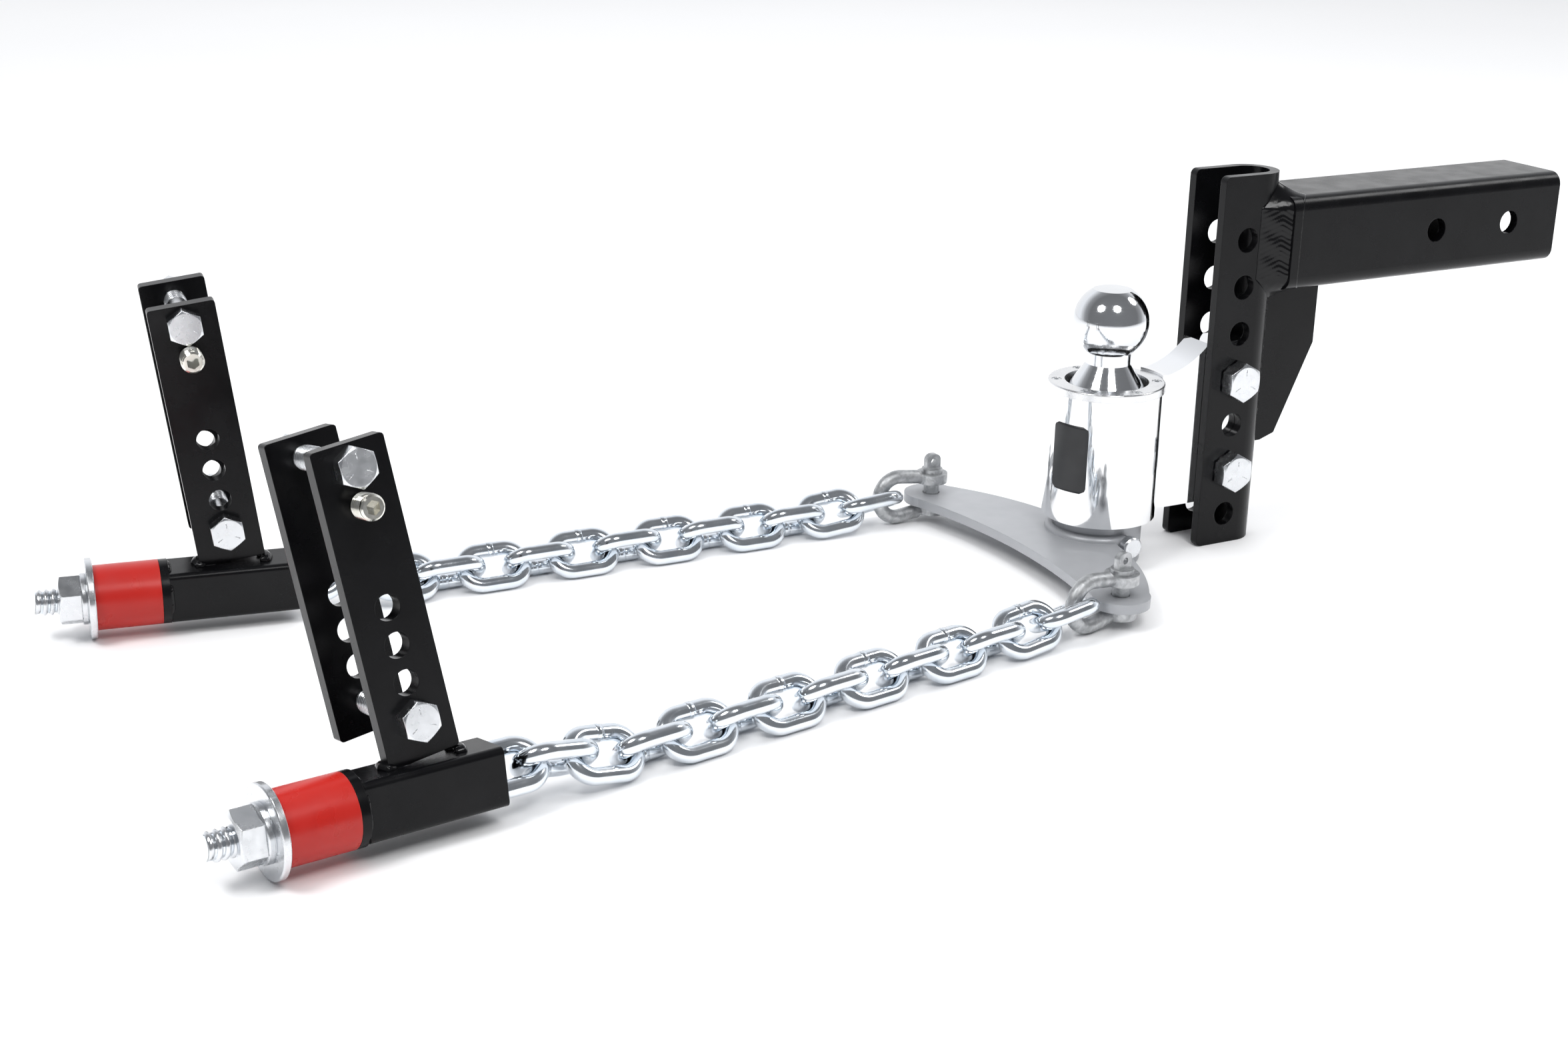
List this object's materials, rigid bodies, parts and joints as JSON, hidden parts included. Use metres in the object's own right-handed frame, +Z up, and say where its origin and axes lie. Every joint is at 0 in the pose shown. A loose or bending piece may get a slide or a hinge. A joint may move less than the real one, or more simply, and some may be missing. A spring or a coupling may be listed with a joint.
{
  "type": "weight distribution trailer hitch",
  "caption": "Drop hitch with square shank, adjustable rack, turning coupler ball and a spreader plate that pulls two drag chains to trailer frame brackets.",
  "frame": {"origin": "middle of the receiver pin hole nearest the shank's end, on the shank's centre line", "axes": "+X along the shank towards the towing vehicle, +Y across along the pin hole, +Z up along the ball's axis"},
  "size_m": [1.0375, 0.4292, 0.257],
  "materials": {
    "black_paint": "gloss black powder coat",
    "polished_aluminium": "mirror polished",
    "satin_aluminium": "turned, satin",
    "zinc_steel": "bright zinc plate",
    "friction_lining": "dark friction lining",
    "chrome": "polished chrome",
    "grey_plate": "silver grey coat",
    "galvanised": "hot dip galvanised",
    "nickel": "bright nickel plate",
    "urethane": "red urethane, semi-gloss"
  },
  "bodies": {
    "hitch": {"shank": "black_paint", "rack": "black_paint", "gusset": "black_paint", "ball_housing": "polished_aluminium", "housing_cap": "satin_aluminium", "cap_screws": "zinc_steel", "friction_cone": "friction_lining", "rack_bolts": "zinc_steel", "rack_nuts": "zinc_steel"},
    "swivel": {"ball_stud": "chrome", "spreader_plate": "grey_plate", "cross_pin": "zinc_steel"},
    "near_shackle": {"near_shackle_bow": "galvanised", "near_shackle_pin": "galvanised"},
    "near_chain_01": {"near_link_01": "zinc_steel"},
    "near_chain_02": {"near_link_02": "zinc_steel"},
    "near_chain_03": {"near_link_03": "zinc_steel"},
    "near_chain_04": {"near_link_04": "zinc_steel"},
    "near_chain_05": {"near_link_05": "zinc_steel"},
    "near_chain_06": {"near_link_06": "zinc_steel"},
    "near_chain_07": {"near_link_07": "zinc_steel"},
    "near_chain_08": {"near_link_08": "zinc_steel"},
    "near_chain_09": {"near_link_09": "zinc_steel"},
    "near_chain_10": {"near_link_10": "zinc_steel"},
    "near_chain_11": {"near_link_11": "zinc_steel"},
    "near_chain_12": {"near_link_12": "zinc_steel"},
    "near_chain_13": {"near_link_13": "zinc_steel"},
    "near_chain_rod": {"near_link_rod": "zinc_steel"},
    "near_bracket": {"near_bracket_frame": "black_paint", "near_clamp_bolts": "zinc_steel", "near_bushing": "urethane"},
    "near_clamp": {"near_clamp_plate": "black_paint", "near_clamp_nuts": "zinc_steel"},
    "near_set_screw": {"near_set_screw": "nickel"},
    "near_end_washers": {"near_washers": "zinc_steel"},
    "near_nut": {"near_rod_nut": "zinc_steel"},
    "far_shackle": {"far_shackle_bow": "galvanised", "far_shackle_pin": "galvanised"},
    "far_chain_01": {"far_link_01": "zinc_steel"},
    "far_chain_02": {"far_link_02": "zinc_steel"},
    "far_chain_03": {"far_link_03": "zinc_steel"},
    "far_chain_04": {"far_link_04": "zinc_steel"},
    "far_chain_05": {"far_link_05": "zinc_steel"},
    "far_chain_06": {"far_link_06": "zinc_steel"},
    "far_chain_07": {"far_link_07": "zinc_steel"},
    "far_chain_08": {"far_link_08": "zinc_steel"},
    "far_chain_09": {"far_link_09": "zinc_steel"},
    "far_chain_10": {"far_link_10": "zinc_steel"},
    "far_chain_11": {"far_link_11": "zinc_steel"},
    "far_chain_12": {"far_link_12": "zinc_steel"},
    "far_chain_13": {"far_link_13": "zinc_steel"},
    "far_chain_rod": {"far_link_rod": "zinc_steel"},
    "far_bracket": {"far_bracket_frame": "black_paint", "far_clamp_bolts": "zinc_steel", "far_bushing": "urethane"},
    "far_clamp": {"far_clamp_plate": "black_paint", "far_clamp_nuts": "zinc_steel"},
    "far_set_screw": {"far_set_screw": "nickel"},
    "far_end_washers": {"far_washers": "zinc_steel"},
    "far_nut": {"far_rod_nut": "zinc_steel"}
  },
  "joints": [
    {"name": "ball_swivel", "type": "hinge", "parent": "hitch", "child": "swivel", "pos_m": [-0.318, 0, -0.1935], "axis": [0, 0, 1], "range_deg": [-75, 75]},
    {"name": "near_shackle_turn", "type": "hinge", "parent": "swivel", "child": "near_shackle", "pos_m": [-0.3806, -0.112, -0.1903], "axis": [0, 0, 1], "range_deg": [-14, 60]},
    {"name": "near_link_01_swing", "type": "hinge", "parent": "near_shackle", "child": "near_chain_01", "pos_m": [-0.40984, -0.117, -0.19109], "axis": [-0.1148, 0.8843, -0.4526], "range_deg": [-5, 18]},
    {"name": "near_link_02_swing", "type": "hinge", "parent": "near_chain_01", "child": "near_chain_02", "pos_m": [-0.4403, -0.1222, -0.19354], "axis": [-0.1742, 0.6876, 0.7049], "range_deg": [-11, 11]},
    {"name": "near_link_03_swing", "type": "hinge", "parent": "near_chain_02", "child": "near_chain_03", "pos_m": [-0.47075, -0.12741, -0.1964], "axis": [-0.1191, 0.697, -0.7071], "range_deg": [-18, 18]},
    {"name": "near_link_04_swing", "type": "hinge", "parent": "near_chain_03", "child": "near_chain_04", "pos_m": [-0.50131, -0.13263, -0.1964], "axis": [-0.1191, 0.697, 0.7071], "range_deg": [-18, 18]},
    {"name": "near_link_05_swing", "type": "hinge", "parent": "near_chain_04", "child": "near_chain_05", "pos_m": [-0.53186, -0.13786, -0.1964], "axis": [-0.1191, 0.697, -0.7071], "range_deg": [-18, 18]},
    {"name": "near_link_06_swing", "type": "hinge", "parent": "near_chain_05", "child": "near_chain_06", "pos_m": [-0.56242, -0.14308, -0.1964], "axis": [-0.1191, 0.697, 0.7071], "range_deg": [-18, 18]},
    {"name": "near_link_07_swing", "type": "hinge", "parent": "near_chain_06", "child": "near_chain_07", "pos_m": [-0.59298, -0.1483, -0.1964], "axis": [-0.1191, 0.697, -0.7071], "range_deg": [-18, 18]},
    {"name": "near_link_08_swing", "type": "hinge", "parent": "near_chain_07", "child": "near_chain_08", "pos_m": [-0.62353, -0.15352, -0.1964], "axis": [-0.1191, 0.697, 0.7071], "range_deg": [-18, 18]},
    {"name": "near_link_09_swing", "type": "hinge", "parent": "near_chain_08", "child": "near_chain_09", "pos_m": [-0.65409, -0.15875, -0.1964], "axis": [-0.1191, 0.697, -0.7071], "range_deg": [-18, 18]},
    {"name": "near_link_10_swing", "type": "hinge", "parent": "near_chain_09", "child": "near_chain_10", "pos_m": [-0.68465, -0.16397, -0.1964], "axis": [-0.1191, 0.697, 0.7071], "range_deg": [-18, 18]},
    {"name": "near_link_11_swing", "type": "hinge", "parent": "near_chain_10", "child": "near_chain_11", "pos_m": [-0.7152, -0.1692, -0.1964], "axis": [-0.1191, 0.697, -0.7071], "range_deg": [-18, 18]},
    {"name": "near_link_12_swing", "type": "hinge", "parent": "near_chain_11", "child": "near_chain_12", "pos_m": [-0.74584, -0.17443, -0.19731], "axis": [0.0045, 0.7181, 0.6959], "range_deg": [-18, 18]},
    {"name": "near_link_13_swing", "type": "hinge", "parent": "near_chain_12", "child": "near_chain_13", "pos_m": [-0.77591, -0.17957, -0.19181], "axis": [-0.2428, 0.6759, -0.6959], "range_deg": [-18, 18]},
    {"name": "near_rod_swing", "type": "hinge", "parent": "near_chain_13", "child": "near_chain_rod", "pos_m": [-0.80587, -0.18493, -0.1854], "axis": [-0.1019, 0.8178, 0.5664], "range_deg": [-18, 18]},
    {"name": "near_bracket_slide", "type": "slide", "parent": "near_chain_rod", "child": "near_bracket", "axis": [0.9923, 0.1236, 0], "range_m": [0, 0.01]},
    {"name": "near_clamp_slide", "type": "slide", "parent": "near_bracket", "child": "near_clamp", "axis": [0.1215, -0.9757, 0.1822], "range_m": [0, 0.025]},
    {"name": "near_set_screw_travel", "type": "slide", "parent": "near_bracket", "child": "near_set_screw", "axis": [-0.1215, 0.9757, -0.1822], "range_m": [-0.006, 0.01]},
    {"name": "near_washer_slide", "type": "slide", "parent": "near_chain_rod", "child": "near_end_washers", "axis": [0.9923, 0.1236, 0], "range_m": [-0.009, 0]},
    {"name": "near_nut_turn", "type": "hinge", "parent": "near_end_washers", "child": "near_nut", "pos_m": [-0.88789, -0.19515, -0.1854], "axis": [0.9923, 0.1236, 0], "range_deg": [-815, 0]},
    {"name": "far_shackle_turn", "type": "hinge", "parent": "swivel", "child": "far_shackle", "pos_m": [-0.3806, 0.112, -0.1903], "axis": [0, 0, 1], "range_deg": [-60, 14]},
    {"name": "far_link_01_swing", "type": "hinge", "parent": "far_shackle", "child": "far_chain_01", "pos_m": [-0.41026, 0.11252, -0.19109], "axis": [0.0514, 0.8902, -0.4526], "range_deg": [-5, 5]},
    {"name": "far_link_02_swing", "type": "hinge", "parent": "far_chain_01", "child": "far_chain_02", "pos_m": [-0.44116, 0.11306, -0.19354], "axis": [-0.0435, 0.708, 0.7049], "range_deg": [-11, 11]},
    {"name": "far_link_03_swing", "type": "hinge", "parent": "far_chain_02", "child": "far_chain_03", "pos_m": [-0.47204, 0.1136, -0.1964], "axis": [0.0123, 0.707, -0.7071], "range_deg": [-18, 18]},
    {"name": "far_link_04_swing", "type": "hinge", "parent": "far_chain_03", "child": "far_chain_04", "pos_m": [-0.50304, 0.11414, -0.1964], "axis": [0.0123, 0.707, 0.7071], "range_deg": [-18, 18]},
    {"name": "far_link_05_swing", "type": "hinge", "parent": "far_chain_04", "child": "far_chain_05", "pos_m": [-0.53403, 0.11468, -0.1964], "axis": [0.0123, 0.707, -0.7071], "range_deg": [-18, 18]},
    {"name": "far_link_06_swing", "type": "hinge", "parent": "far_chain_05", "child": "far_chain_06", "pos_m": [-0.56503, 0.11522, -0.1964], "axis": [0.0123, 0.707, 0.7071], "range_deg": [-18, 18]},
    {"name": "far_link_07_swing", "type": "hinge", "parent": "far_chain_06", "child": "far_chain_07", "pos_m": [-0.59602, 0.11576, -0.1964], "axis": [0.0123, 0.707, -0.7071], "range_deg": [-18, 18]},
    {"name": "far_link_08_swing", "type": "hinge", "parent": "far_chain_07", "child": "far_chain_08", "pos_m": [-0.62702, 0.1163, -0.1964], "axis": [0.0123, 0.707, 0.7071], "range_deg": [-18, 18]},
    {"name": "far_link_09_swing", "type": "hinge", "parent": "far_chain_08", "child": "far_chain_09", "pos_m": [-0.65801, 0.11684, -0.1964], "axis": [0.0123, 0.707, -0.7071], "range_deg": [-18, 18]},
    {"name": "far_link_10_swing", "type": "hinge", "parent": "far_chain_09", "child": "far_chain_10", "pos_m": [-0.68901, 0.11738, -0.1964], "axis": [0.0123, 0.707, 0.7071], "range_deg": [-18, 18]},
    {"name": "far_link_11_swing", "type": "hinge", "parent": "far_chain_10", "child": "far_chain_11", "pos_m": [-0.72, 0.11792, -0.1964], "axis": [0.0123, 0.707, -0.7071], "range_deg": [-18, 18]},
    {"name": "far_link_12_swing", "type": "hinge", "parent": "far_chain_11", "child": "far_chain_12", "pos_m": [-0.75108, 0.11847, -0.19731], "axis": [0.1378, 0.7048, 0.6959], "range_deg": [-18, 18]},
    {"name": "far_link_13_swing", "type": "hinge", "parent": "far_chain_12", "child": "far_chain_13", "pos_m": [-0.78158, 0.119, -0.19181], "axis": [-0.1131, 0.7092, -0.6959], "range_deg": [-18, 18]},
    {"name": "far_rod_swing", "type": "hinge", "parent": "far_chain_13", "child": "far_chain_rod", "pos_m": [-0.81207, 0.11881, -0.1854], "axis": [0.1079, 0.6734, 0.7314], "range_deg": [-18, 18]},
    {"name": "far_bracket_slide", "type": "slide", "parent": "far_chain_rod", "child": "far_bracket", "axis": [0.9874, -0.1582, 0], "range_m": [0, 0.01]},
    {"name": "far_clamp_slide", "type": "slide", "parent": "far_bracket", "child": "far_clamp", "axis": [-0.1581, -0.9868, -0.0349], "range_m": [0, 0.025]},
    {"name": "far_set_screw_travel", "type": "slide", "parent": "far_bracket", "child": "far_set_screw", "axis": [0.1581, 0.9868, 0.0349], "range_m": [-0.006, 0.01]},
    {"name": "far_washer_slide", "type": "slide", "parent": "far_chain_rod", "child": "far_end_washers", "axis": [0.9874, -0.1582, 0], "range_m": [-0.009, 0]},
    {"name": "far_nut_turn", "type": "hinge", "parent": "far_end_washers", "child": "far_nut", "pos_m": [-0.89368, 0.13188, -0.1854], "axis": [0.9874, -0.1582, 0], "range_deg": [-815, 0]}
  ],
  "couplings": [
    {"joint": "near_nut_turn", "follows": "near_washer_slide", "rad_per_m": 1570.8},
    {"joint": "far_nut_turn", "follows": "far_washer_slide", "rad_per_m": 1570.8}
  ]
}
